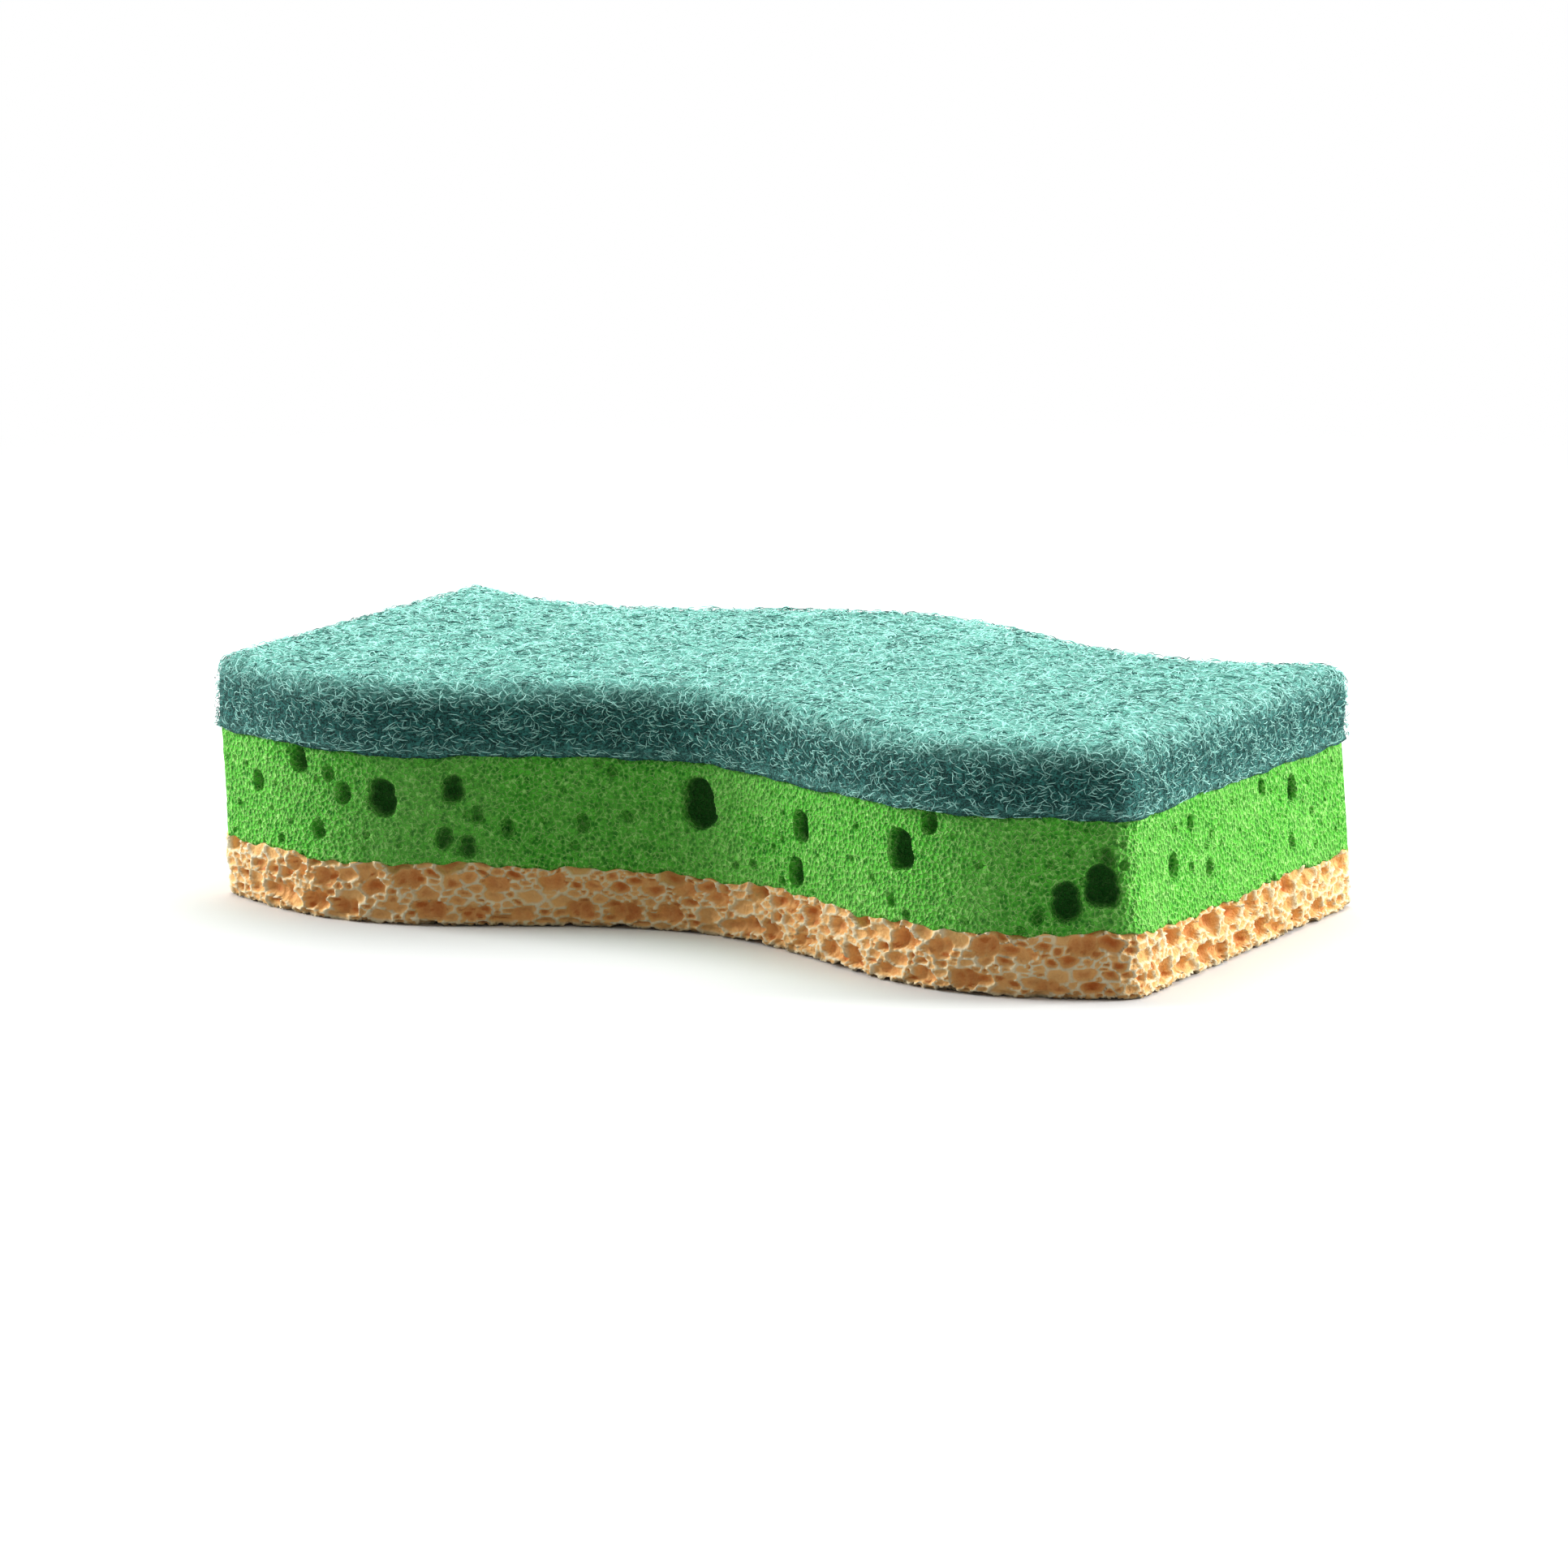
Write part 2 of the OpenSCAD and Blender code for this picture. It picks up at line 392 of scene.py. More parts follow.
def fill_between(piece: Object, low: float, high: float) -> None:
    """Fills the flat gap between two open loops.

    Args:
        piece: The piece that has both loops.
        low: Lowest height of the loops.
        high: Highest height of the loops.
    """
    mesh = piece.data
    with editing(piece):
        select_open()
        bpy.ops.object.mode_set(mode="OBJECT")
        for vertex in mesh.vertices:
            vertex.select = vertex.select and low <= vertex.co.z <= high
        for edge in mesh.edges:
            edge.select = edge.select and all(mesh.vertices[i].select for i in edge.vertices)
        bpy.ops.object.mode_set(mode="EDIT")
        bpy.ops.mesh.fill(use_beauty=True)


@dataclass
class PoreField:
    """Round or long pores scattered over a rolled-out face, none crossing another."""

    width: float
    height: float
    seed: int
    classes: PoreClasses
    gap: float = 0.1 * MM
    stretch: float = 1.0
    reach: float = 0.7 * MM
    wraps: bool = True
    pores: Array = field(init=False)

    def __post_init__(self) -> None:
        """Throws the pores of each class in turn, largest first, and keeps those that fit."""
        rng = np.random.default_rng(self.seed)
        kept = np.empty((0, 4))
        for least, most, tries in self.classes:
            size = rng.uniform(least, most, tries) * MM
            u = rng.uniform(0, self.width, tries)
            v = rng.uniform(0, self.height, tries)
            luck = rng.random(tries)
            for i in range(tries):
                du = np.abs(kept[:, 0] - u[i])
                if self.wraps:
                    du = np.minimum(du, self.width - du)
                apart = np.hypot(du / self.stretch, kept[:, 1] - v[i])
                if np.all(apart > kept[:, 2] + size[i] + self.gap):
                    kept = np.vstack([kept, [u[i], v[i], size[i], luck[i]]])
        self.pores = kept

    def walls(self, u: Array, v: Array) -> tuple[Array, Array]:
        """How far each point stands from the wall between its pore and the next.

        Args:
            u: Places along the face.
            v: Places up the face.

        Returns:
            Distance from the wall's middle, and the number of the pore.
        """
        order = np.argsort(u)
        across, up = u[order], v[order]
        first_off = np.full(len(u), self.reach)
        second_off = first_off.copy()
        owner = np.zeros(len(u), dtype=int)
        shifts = (-self.width, 0.0, self.width) if self.wraps else (0.0,)
        for number, (cu, cv, size, _) in enumerate(self.pores):
            span = self.stretch * (size + self.reach)
            for shift in shifts:
                a, b = np.searchsorted(across, [cu + shift - span, cu + shift + span])
                if a == b:
                    continue
                off = np.hypot((across[a:b] - cu - shift) / self.stretch, up[a:b] - cv) - size
                nearest, next_off, mine = first_off[a:b], second_off[a:b], owner[a:b]
                closer = off < nearest
                next_off[:] = np.where(closer, nearest, np.minimum(next_off, off))
                mine[closer] = number
                nearest[:] = np.minimum(nearest, off)
        off = np.empty(len(u))
        number = np.empty(len(u), dtype=int)
        off[order] = (second_off - first_off) / 2
        number[order] = owner
        return off, number

    def bowls(self, u: Array, v: Array, rim: float) -> Array:
        """Depth of round bowls at each point, with a rim left whole between them."""
        off, number = self.walls(u, v)
        size = self.pores[number, 2]
        return size * np.where(off > rim, np.sqrt(1 - (1 - np.clip(off / size, 0, 1)) ** 2), 0)


class Surface:
    """The surface of a CAD node, for sounding how deep its own bubbles and pores are."""

    def __init__(self, node: str) -> None:
        """Takes the surface from the node's mesh."""
        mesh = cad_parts[node].data
        mesh.calc_loop_triangles()
        triangles = read_rows(mesh.loop_triangles, "vertices", 3, np.int32).tolist()
        self.tree = BVHTree.FromPolygons([v.co.copy() for v in mesh.vertices], triangles)

    def sound(self, places: Array, ways: Array, deepest: float) -> Array:
        """Depth of the surface under each point, measured in against its normal.

        Args:
            places: Places on the plain face.
            ways: Outward normals there.
            deepest: Depth that counts as the bottom.

        Returns:
            Depth in metres, 0 where the face is plain.
        """
        clear, least = 0.8 * MM, 0.06 * MM
        depths = np.zeros(len(places))
        for i, (place, way) in enumerate(zip(places, ways)):
            away = Vector(way)
            hit = self.tree.ray_cast(Vector(place) + away * clear, -away, clear + deepest)
            if hit[3] is not None:
                depths[i] = hit[3] - clear
        return np.where(depths < least, 0.0, depths)


def math_node(operation: str, swapped: bool = False) -> Callable:
    """A method of Value that puts one Math node on two terms, in either order."""

    def method(self: "Value", other: "Value | float") -> "Value":
        """The Math node's result."""
        terms = {0: other, 1: self} if swapped else {0: self, 1: other}
        return self.shader.number("ShaderNodeMath", {"operation": operation}, terms)

    return method


class Value:
    """A shader number: arithmetic on it adds Math nodes, and over gives the larger of two."""

    def __init__(self, shader: "Shader", socket: NodeSocket) -> None:
        """Wraps an output socket of a shader."""
        self.shader = shader
        self.socket = socket

    __add__ = __radd__ = math_node("ADD")
    __sub__ = math_node("SUBTRACT")
    __rsub__ = math_node("SUBTRACT", swapped=True)
    __mul__ = __rmul__ = math_node("MULTIPLY")
    over = math_node("MAXIMUM")

    def ramp(self, start: float, stop: float) -> "Value":
        """0 below start, 1 above stop and smooth between them."""
        settings = {"interpolation_type": "SMOOTHSTEP", "clamp": True}
        inputs = {"Value": self, "From Min": start, "From Max": stop, "To Min": 0.0, "To Max": 1.0}
        return self.shader.number("ShaderNodeMapRange", settings, inputs)


class Shader:
    """The nodes of one finish, or of the world."""

    def __init__(self, owner: Material | World) -> None:
        """Starts the nodes of a new material or world."""
        self.owner = owner
        owner.use_nodes = True
        self.nodes, self.links = owner.node_tree.nodes, owner.node_tree.links
        self.nodes.clear()

    @classmethod
    def finish(cls, name: str) -> "Shader":
        """The nodes of a new material."""
        return cls(bpy.data.materials.new(name))

    def node(self, kind: str, settings: dict, inputs: dict) -> Node:
        """Adds a node.

        Args:
            kind: The node's type.
            settings: Its properties, set before its inputs.
            inputs: Values or links of its sockets, by name or number.

        Returns:
            The new node.
        """
        node = self.nodes.new(kind)
        for name, value in settings.items():
            setattr(node, name, value)
        for name, value in inputs.items():
            if isinstance(value, Value):
                value = value.socket
            if isinstance(value, NodeSocket):
                self.links.new(value, node.inputs[name])
            else:
                node.inputs[name].default_value = value
        return node

    def number(self, kind: str, settings: dict, inputs: dict, output: int | str = 0) -> Value:
        """Adds a node and gives one of its outputs as a number."""
        return Value(self, self.node(kind, settings, inputs).outputs[output])

    def place(self) -> NodeSocket:
        """Object coordinates."""
        return self.node("ShaderNodeTexCoord", {}, {}).outputs["Object"]

    def marked(self, name: str) -> Value:
        """A number that is stored on the piece."""
        return self.number("ShaderNodeAttribute", {"attribute_name": name}, {}, "Fac")

    def grain(self, size: float, detail: float = 2.0) -> Value:
        """Cloudy noise with swells of a size in metres."""
        inputs = {"Vector": self.place(), "Scale": 1 / size, "Detail": detail}
        return self.number("ShaderNodeTexNoise", {}, inputs)

    def cells(self, size: float, feature: str = "F1") -> Value:
        """Distance from the middles, or the edges, of cells of a size in metres."""
        inputs = {"Vector": self.place(), "Scale": 1 / size}
        return self.number("ShaderNodeTexVoronoi", {"feature": feature}, inputs)

    def strands(self, size: Pair, heading: float, shift: float) -> Value:
        """Strands that run one way in the plane of the pad.

        Args:
            size: Length and spacing of the strands, in metres.
            heading: The way they run, in radians from X.
            shift: Moves the pattern, in metres.

        Returns:
            1 on a strand and 0 beside it.
        """
        inputs = {
            "Vector": self.place(),
            "Location": (shift, shift, 0.0),
            "Rotation": (0.0, 0.0, heading),
            "Scale": (size[0], size[1], size[1]),
        }
        turned = self.node("ShaderNodeMapping", {"vector_type": "TEXTURE"}, inputs)
        inputs = {"Vector": turned.outputs[0], "Scale": 1.0, "Detail": 1.0, "Distortion": 0.35}
        return self.number("ShaderNodeTexNoise", {}, inputs).ramp(0.50, 0.66)

    def mix(
        self, share: Value | float, first: tuple | NodeSocket, second: tuple | NodeSocket
    ) -> NodeSocket:
        """A colour between two others, by a share of 0 to 1."""
        inputs = {0: share, 6: first, 7: second}
        return self.node("ShaderNodeMix", {"data_type": "RGBA"}, inputs).outputs[2]

    def bump(self, height: Value, depth: float) -> NodeSocket:
        """A normal that rises and falls with a height of 0 to 1, of a depth in metres."""
        return self.node("ShaderNodeBump", {}, {"Height": height, "Distance": depth}).outputs[0]

    def blend(self, share: Value, first: Node, second: Node) -> Node:
        """A shader between two others, by a share of 0 to 1."""
        inputs = {0: share, 1: first.outputs[0], 2: second.outputs[0]}
        return self.node("ShaderNodeMixShader", {}, inputs)

    def surface(
        self, colour: NodeSocket, roughness: float, specular: float, **more: object
    ) -> Material:
        """Closes the finish with its main shader."""
        inputs = {"Base Color": colour, "Roughness": roughness, "Specular IOR Level": specular}
        return self.output(self.node("ShaderNodeBsdfPrincipled", {}, inputs | more))

    def output(self, last: Node) -> Material | World:
        """Joins the last shader node to the output."""
        kind = "World" if isinstance(self.owner, World) else "Material"
        self.node(f"ShaderNodeOutput{kind}", {}, {"Surface": last.outputs[0]})
        return self.owner


@dataclass(frozen=True)
class FoamFinish:
    """Bright foam with open cells: painted shade in its tiny cells and deep in its bubbles, and
    painted highlights on the struts between them.
    """

    face: tuple = tint(102, 218, 66)
    # painted highlight on the struts; the same pale colour also gives random pale patches
    strut_highlight_and_patch: tuple = tint(184, 255, 140)
    # painted shade inside the tiny open cells
    cell_shade: tuple = tint(28, 136, 24)
    # painted shade deep in the bubbles
    deep: tuple = tint(10, 72, 16)
    cell_size: float = 0.54 * MM
    relief: float = 0.36 * MM
    roughness: float = 0.85
    specular: float = 0.2

    def build(self) -> Material:
        """Makes the material."""
        shader = Shader.finish("foam")
        cells = shader.cells(self.cell_size)
        highlight_net = 1 - shader.cells(self.cell_size, "DISTANCE_TO_EDGE").ramp(0.02, 0.16)
        specks = shader.grain(0.4 * MM)
        clumps = shader.grain(1.3 * MM)
        patches = shader.grain(10 * MM)
        # share of painted shade, strongest in the middle of the tiny cells and stronger in random
        # clumps
        pit_shade = 1 - (cells + (specks - 0.5) * 0.6).ramp(0.15, 0.6)
        colour = shader.mix(pit_shade * (clumps.ramp(0.3, 0.65) * 0.5 + 0.5), self.face, self.cell_shade)
        # painted highlights along the struts between the tiny cells
        colour = shader.mix(highlight_net * specks.ramp(0.4, 0.58) * 0.85, colour, self.strut_highlight_and_patch)
        # random pale patches in the colour of the painted highlights
        colour = shader.mix(patches.ramp(0.35, 0.75) * 0.15, colour, self.strut_highlight_and_patch)
        # painted shade in the bubbles, darker the deeper the hollow
        colour = shader.mix(shader.marked("hollow").ramp(0.04, 0.42) * 0.92, colour, self.deep)
        rough = shader.bump(cells + specks * 0.7 + highlight_net * 0.3, self.relief)
        return shader.surface(colour, self.roughness, self.specular, Normal=rough)


@dataclass(frozen=True)
class CelluloseFinish:
    """Cream webs over pores painted darker orange as shade, darkest in their middles, with tiny
    pits painted the same way.
    """

    web: tuple = tint(255, 242, 204)
    shade: tuple = tint(255, 230, 180)
    # painted shade inside the pores and tiny pits
    amber_shade: tuple = tint(254, 200, 126)
    # darkest painted shade, in the middle of the deeper pores
    deep: tuple = tint(198, 106, 36)
    relief: float = 0.15 * MM
    roughness: float = 0.75
    specular: float = 0.3

    def build(self) -> Material:
        """Makes the material."""
        shader = Shader.finish("cellulose")
        blotch = shader.grain(2.2 * MM)
        fine = shader.grain(0.3 * MM)
        pits = shader.cells(0.6 * MM)
        colour = shader.mix(blotch.ramp(0.3, 0.7), self.web, self.shade)
        # painted shade in tiny pits of the surface
        colour = shader.mix((1 - (pits + fine * 0.4).ramp(0.2, 0.5)) * 0.4, colour, self.amber_shade)
        hollow = shader.marked("hollow")
        # painted shade inside the pores
        colour = shader.mix(hollow.ramp(0.06, 0.34), colour, self.amber_shade)
        # darker painted shade towards the middle of the deeper pores
        colour = shader.mix((hollow + (fine - 0.5) * 0.25).ramp(0.35, 1.0) * 0.9, colour, self.deep)
        rough = shader.bump(fine + pits * 0.6, self.relief)
        return shader.surface(colour, self.roughness, self.specular, Normal=rough)


@dataclass(frozen=True)
class StrandFinish:
    """Resin-coated strands, each in its own random colour, with painted light on those that face up
    or stand high and painted shade on those on the sides or low.
    """

    # dark end: painted shade on side and low strands, and random darker strands
    dark: tuple = tint(24, 84, 80)
    light: tuple = tint(194, 255, 243)
    roughness: float = 0.7
    specular: float = 0.15

    def build(self) -> Material:
        """Makes the material."""
        shader = Shader.finish("scouring_strand")
        # the mark holds painted light and shade besides each strand's random share
        share = shader.marked("tone_and_shade") + (shader.grain(0.8 * MM) - 0.5) * 0.6
        colour = shader.mix(share.ramp(0.0, 1.0), self.dark, self.light)
        return shader.surface(colour, self.roughness, self.specular)


@dataclass(frozen=True)
class MatFinish:
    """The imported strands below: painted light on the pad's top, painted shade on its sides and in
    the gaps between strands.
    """

    # painted shade in the gaps between strands on the sides
    gap: tuple = tint(14, 54, 52)
    # painted shade in the gaps between strands on the top
    top_gap_shade: tuple = tint(98, 176, 164)
    # painted shade: strand colour where the pad faces sideways
    side: tuple = tint(72, 154, 145)
    # painted light: strand colour where the pad faces up
    top: tuple = tint(164, 242, 227)
    headings: tuple[float, ...] = (0.2, 0.95, 1.75, 2.6)
    strand_size: Pair = (1.1 * MM, 0.17 * MM)
    relief: float = 0.25 * MM
    roughness: float = 0.7
    specular: float = 0.2

    def build(self) -> Material:
        """Makes the material."""
        shader = Shader.finish("scouring_mat")
        heap = shader.grain(0.45 * MM).ramp(0.48, 0.62) * 0.8
        for i, heading in enumerate(self.headings):
            layer = shader.strands(self.strand_size, heading, (3 + 7 * i) * MM)
            heap = heap.over(layer * (1 - 0.12 * i))
        clumps = shader.grain(1.2 * MM).ramp(0.3, 0.7)
        # painted light on the top and painted shade on the sides, by how far the pad faces up
        facing = shader.marked("facing")
        strand = shader.mix(facing, self.side, self.top)
        # painted shade in the gaps between strands, lighter on the top
        gap = shader.mix(facing, self.gap, self.top_gap_shade)
        colour = shader.mix(heap * (clumps * 0.35 + 0.65), gap, strand)
        rough = shader.bump(heap, self.relief)
        return shader.surface(colour, self.roughness, self.specular, Normal=rough)


LOWER_SEAM = Seam(
    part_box("foam_core")[0].z,
    ((4, 0.2, 0.4), (9, 0.18, 1.9), (17, 0.16, 4.1))
    + ((31, 0.15, 0.7), (67, 0.14, 2.6), (127, 0.12, 5)),
)
UPPER_SEAM = Seam(
    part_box("scouring_pad")[0].z,
    ((3, 0.16, 2.2), (8, 0.13, 0.3), (15, 0.11, 3.3))
    + ((29, 0.09, 1.2), (53, 0.07, 4.4), (89, 0.06, 1)),
)
LEAN = 1.2 * MM


def leaned(places: Array) -> Array:
    """Places with the soft lower layers pushed a little to the right, as they lie."""
    pushed = places.copy()
    pushed[:, 0] += LEAN * np.clip(1 - places[:, 2] / UPPER_SEAM.height, 0, 1)
    return pushed


def finish_piece(piece: Object, material: Material) -> None:
    """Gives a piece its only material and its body.

    Args:
        piece: The finished piece.
        material: Its finish.
    """
    piece.data.materials.clear()
    piece.data.materials.append(material)
    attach(piece, BODY)
    piece.data.calc_loop_triangles()
    log.info("%s: %d triangles", piece.name, len(piece.data.loop_triangles))


@dataclass
class FoamCore:
    """The bright foam between the seams, with the bubbles that the frame gives it."""

    outline: Outline
    inset: float = 0.5 * MM
    spacing: float = 0.4 * MM
    lip: float = 1.5 * MM
    deepest: float = 3.4 * MM
    cuts: int = 2
    pinholes: PoreClasses = ((0.3, 0.55, 70), (0.18, 0.3, 240))
    pinhole_gap: float = 0.6 * MM
    pinhole_rim: float = 0.3 * MM
    warp: Ripple = Ripple(1.2 * MM, 0.16, 3.0)
    swells: tuple[Ripple, ...] = (Ripple(13 * MM, 0.25, 8.0), Ripple(0.8 * MM, 0.06, 1.0))

    def build(self) -> Object:
        """Models the piece.

        Returns:
            The foam, closed, with the depth of its hollows marked.
        """
        low, high = LOWER_SEAM.height, UPPER_SEAM.height
        rise = np.linspace(low, high, round((high - low) / self.spacing) + 1)
        inset = np.r_[self.lip, 0 * rise, self.lip] + self.inset
        band = Band(self.outline, self.spacing, inset, np.r_[low, rise, high], 0 * inset)
        surface = Surface("foam_core")
        holes = PoreField(band.round_way[-1], high - low, 5, self.pinholes, self.pinhole_gap)
        sheet = Sheet("foam", band.columns, band.rows)

        depth = self.sounded(band, sheet, surface, holes)[2]
        sheet.refine(depth > 0, self.cuts)
        places, ways, depth = self.sounded(band, sheet, surface, holes)

        column, row = sheet.spots()
        up = np.clip((row - 1) / (band.rows - 2), 0, 1)
        face = (row > 0.5) & (row < band.rows - 0.5)
        places += ways * (face * (swell(places, *self.swells) - depth))[:, None]
        share = column / band.columns
        places[:, 2] += LOWER_SEAM.lift(share) * (1 - up) + UPPER_SEAM.lift(share) * up
        # the hollow mark sets the painted shade in the foam's bubbles
        piece = lay(sheet.piece, leaned(places), hollow=depth / self.deepest)
        close_up(piece)
        return piece

    def sounded(
        self, band: Band, sheet: Sheet, surface: Surface, holes: PoreField
    ) -> tuple[Array, Array, Array]:
        """Plain places, outward normals and hollow depths of a sheet's points.

        Args:
            band: The rolled-out side.
            sheet: The sheet over it.
            surface: The frame's foam.
            holes: Small holes besides the frame's bubbles.

        Returns:
            Places, normals and depths.
        """
        column, _, places, ways = band.under(sheet)
        along = np.column_stack([-ways[:, 1], ways[:, 0], 0 * ways[:, 2]])
        warped = places + along * swell(places, self.warp)[:, None]
        depth = surface.sound(warped, ways, self.deepest)
        u = np.interp(column, np.arange(band.columns + 1), band.round_way)
        small = holes.bowls(u, places[:, 2] - LOWER_SEAM.height, self.pinhole_rim)
        return places, ways, np.maximum(depth, small)


@dataclass
class CelluloseLayer:
    """The coarse layer under the foam, with webs between pores of every size."""

    outline: Outline
    inset: float = 0.2 * MM
    spacing: float = 0.225 * MM
    under_spacing: float = 0.6 * MM
    edge_radius: float = 0.9 * MM
    lip: float = 1.2 * MM
    deepest: float = 2.0 * MM
    web: float = 0.05 * MM
    classes: PoreClasses = (
        (0.5, 0.85, 450),
        (0.34, 0.5, 2800),
        (0.2, 0.34, 8000),
        (0.12, 0.2, 14000),
    )
    stretch: float = 1.9
    shallowest: float = 0.6
    luckiest: float = 1.4
    flank: float = 0.4
    # how far into a pore its painted shade takes to reach full strength
    dark_flank: float = 0.8
    edge_rows: int = 6
    under_insets: tuple[float, ...] = (3.9, 3.2, 2.6, 2.1, 1.7, 1.35, 1.1)
    under_deepest: float = 0.8 * MM
    middle_deepest: float = 1.8 * MM
    overlap: float = 0.7 * MM
    bend_along: Ripple = Ripple(1.1 * MM, 0.28, 3.0)
    bend_up: Ripple = Ripple(1.1 * MM, 0.20, 9.0)
    swells: tuple[Ripple, ...] = (Ripple(5 * MM, 0.18, 6.0), Ripple(0.9 * MM, 0.10, 2.0))

    def section(self) -> tuple[Array, Array, Array]:
        """The section from inside the underside, round its edge, up and in over the top.

        Returns:
            Inset, height and drop of each row.
        """
        top, bend = LOWER_SEAM.height, self.edge_radius
        side = np.linspace(bend, top, round((top - bend) / self.spacing) + 1)
        turn = np.linspace(math.pi / 2, 0, self.edge_rows + 1)[:-1]
        under = np.array(self.under_insets) * MM
        round_in = bend * (1 - np.sin(math.pi / 2 - turn))
        inset = np.r_[under, round_in, 0 * side, self.lip]
        height = np.r_[0 * under, bend * (1 - np.sin(turn)), side, top]
        drop = np.r_[0 * under + math.pi / 2, turn, 0 * side, 0.0]
        return inset + self.inset, height, drop

    def pores(self, field_of: PoreField, u: Array, v: Array) -> tuple[Array, Array]:
        """Depth and painted shade of a field's pores: some open and deep, some skinned over.

        Args:
            field_of: The pores.
            u: Places along the face.
            v: Places up the face.

        Returns:
            Depth at each point, and how strong the pore's painted shade is there.
        """
        off, number = field_of.walls(u, v)
        size, luck = field_of.pores[number, 2], field_of.pores[number, 3]
        inward = np.clip((off - self.web) / size, 0, 1)
        deep = size * (self.shallowest + self.luckiest * luck)
        depth = deep * np.clip(inward / self.flank, 0, 1) ** 0.55
        # painted shade, strongest in the middle of a pore and stronger in deeper pores
        return depth, np.clip(inward / self.dark_flank, 0, 1) ** 0.6 * (0.5 + 0.5 * luck)

    def build(self) -> Object:
        """Models the piece.

        Returns:
            The cellulose layer, closed, with the depth of its hollows marked.
        """
        inset, height, drop = self.section()
        band = Band(self.outline, self.spacing, inset, height, drop)
        surface = Surface("cellulose_layer")
        sheet = Sheet("cellulose", band.columns, band.rows)
        column, row, places, ways = band.under(sheet)
        u = np.interp(column, np.arange(band.columns + 1), band.round_way)
        v = np.interp(row, np.arange(band.rows + 1), band.up_way)
        around, upward = band.round_way[-1], band.up_way[-2]
        side = PoreField(around, upward, 7, self.classes, stretch=self.stretch)
        bent_u = (u + swell(places, self.bend_along)) % around
        depth, dark = self.pores(side, bent_u, v + swell(places, self.bend_up))
        level = drop[np.clip(np.rint(row).astype(int), 0, band.rows)]
        own = surface.sound(places, ways, self.deepest)
        own[(level > 0) & (level < math.pi / 2)] = 0
        # the frame's own pores add painted shade by their depth
        dark = np.maximum(dark, own / self.deepest)
        depth = np.minimum(np.maximum(depth, own), self.deepest)
        depth[row > band.rows - 0.5] = 0
        below = level == math.pi / 2
        depth[below] = np.minimum(depth[below], self.under_deepest)
        free = (row < band.rows - 0.5) * np.clip(row / 2, 0, 1)
        places += ways * (free * (swell(places, *self.swells) - depth))[:, None]
        up = np.clip(places[:, 2] / height[-1], 0, 1)
        places[:, 2] += LOWER_SEAM.lift(column / band.columns) * up
        places[:, 2] = np.maximum(places[:, 2], 0)
        # the hollow mark carries the pores' painted shade
        rim = lay(sheet.piece, leaned(places), hollow=dark)
        piece = join([rim, self.underside(surface, inset[0] + self.overlap)])
        fill_between(piece, -0.1 * MM, 2.2 * MM)
        close_up(piece)
        return piece

    def underside(self, surface: Surface, inset: float) -> Object:
        """The middle of the underside.

        Args:
            surface: The frame's cellulose layer.
            inset: How far it stands back from the outline.

        Returns:
            An open sheet.
        """
        length, width = self.outline.length, self.outline.end_width
        sheet = Sheet(
            "underside", round(length / self.under_spacing), round(1.1 * width / self.under_spacing)
        )
        places = spread(self.outline, sheet, inset)
        classes = tuple((least, most, 2 * tries) for least, most, tries in self.classes[:3])
        field_of = PoreField(length, 1.5 * width, 9, classes, wraps=False)
        u, v = places[:, 0] + length / 2, places[:, 1] + 0.75 * width
        depth, dark = self.pores(field_of, u, v)
        down = np.broadcast_to([0.0, 0.0, -1.0], places.shape)
        own = surface.sound(places, down, self.deepest)
        depth = np.minimum(np.maximum(depth, own), self.middle_deepest)
        column, row = sheet.spots()
        from_edge = np.minimum(
            np.minimum(column, sheet.columns - column), np.minimum(row, sheet.rows - row)
        )
        places[:, 2] = depth * np.clip(from_edge / 2, 0, 1)
        return lay(sheet.piece, leaned(places), hollow=dark)


def spread(outline: Outline, sheet: Sheet, inset: float) -> Array:
    """Places of a sheet's points over the inside of the outline, at height 0.

    Args:
        outline: The outline.
        sheet: The sheet.
        inset: How far the sheet's edge stands back from the outline.

    Returns:
        One row a point.
    """
    column, row = sheet.spots()
    x = (column / sheet.columns * 2 - 1) * (outline.length / 2 - inset)
    low = outline.side_y(x, Side.FRONT, inset)
    high = outline.side_y(x, Side.BACK, inset)
    return np.column_stack([x, low + (high - low) * row / sheet.rows, 0 * x])


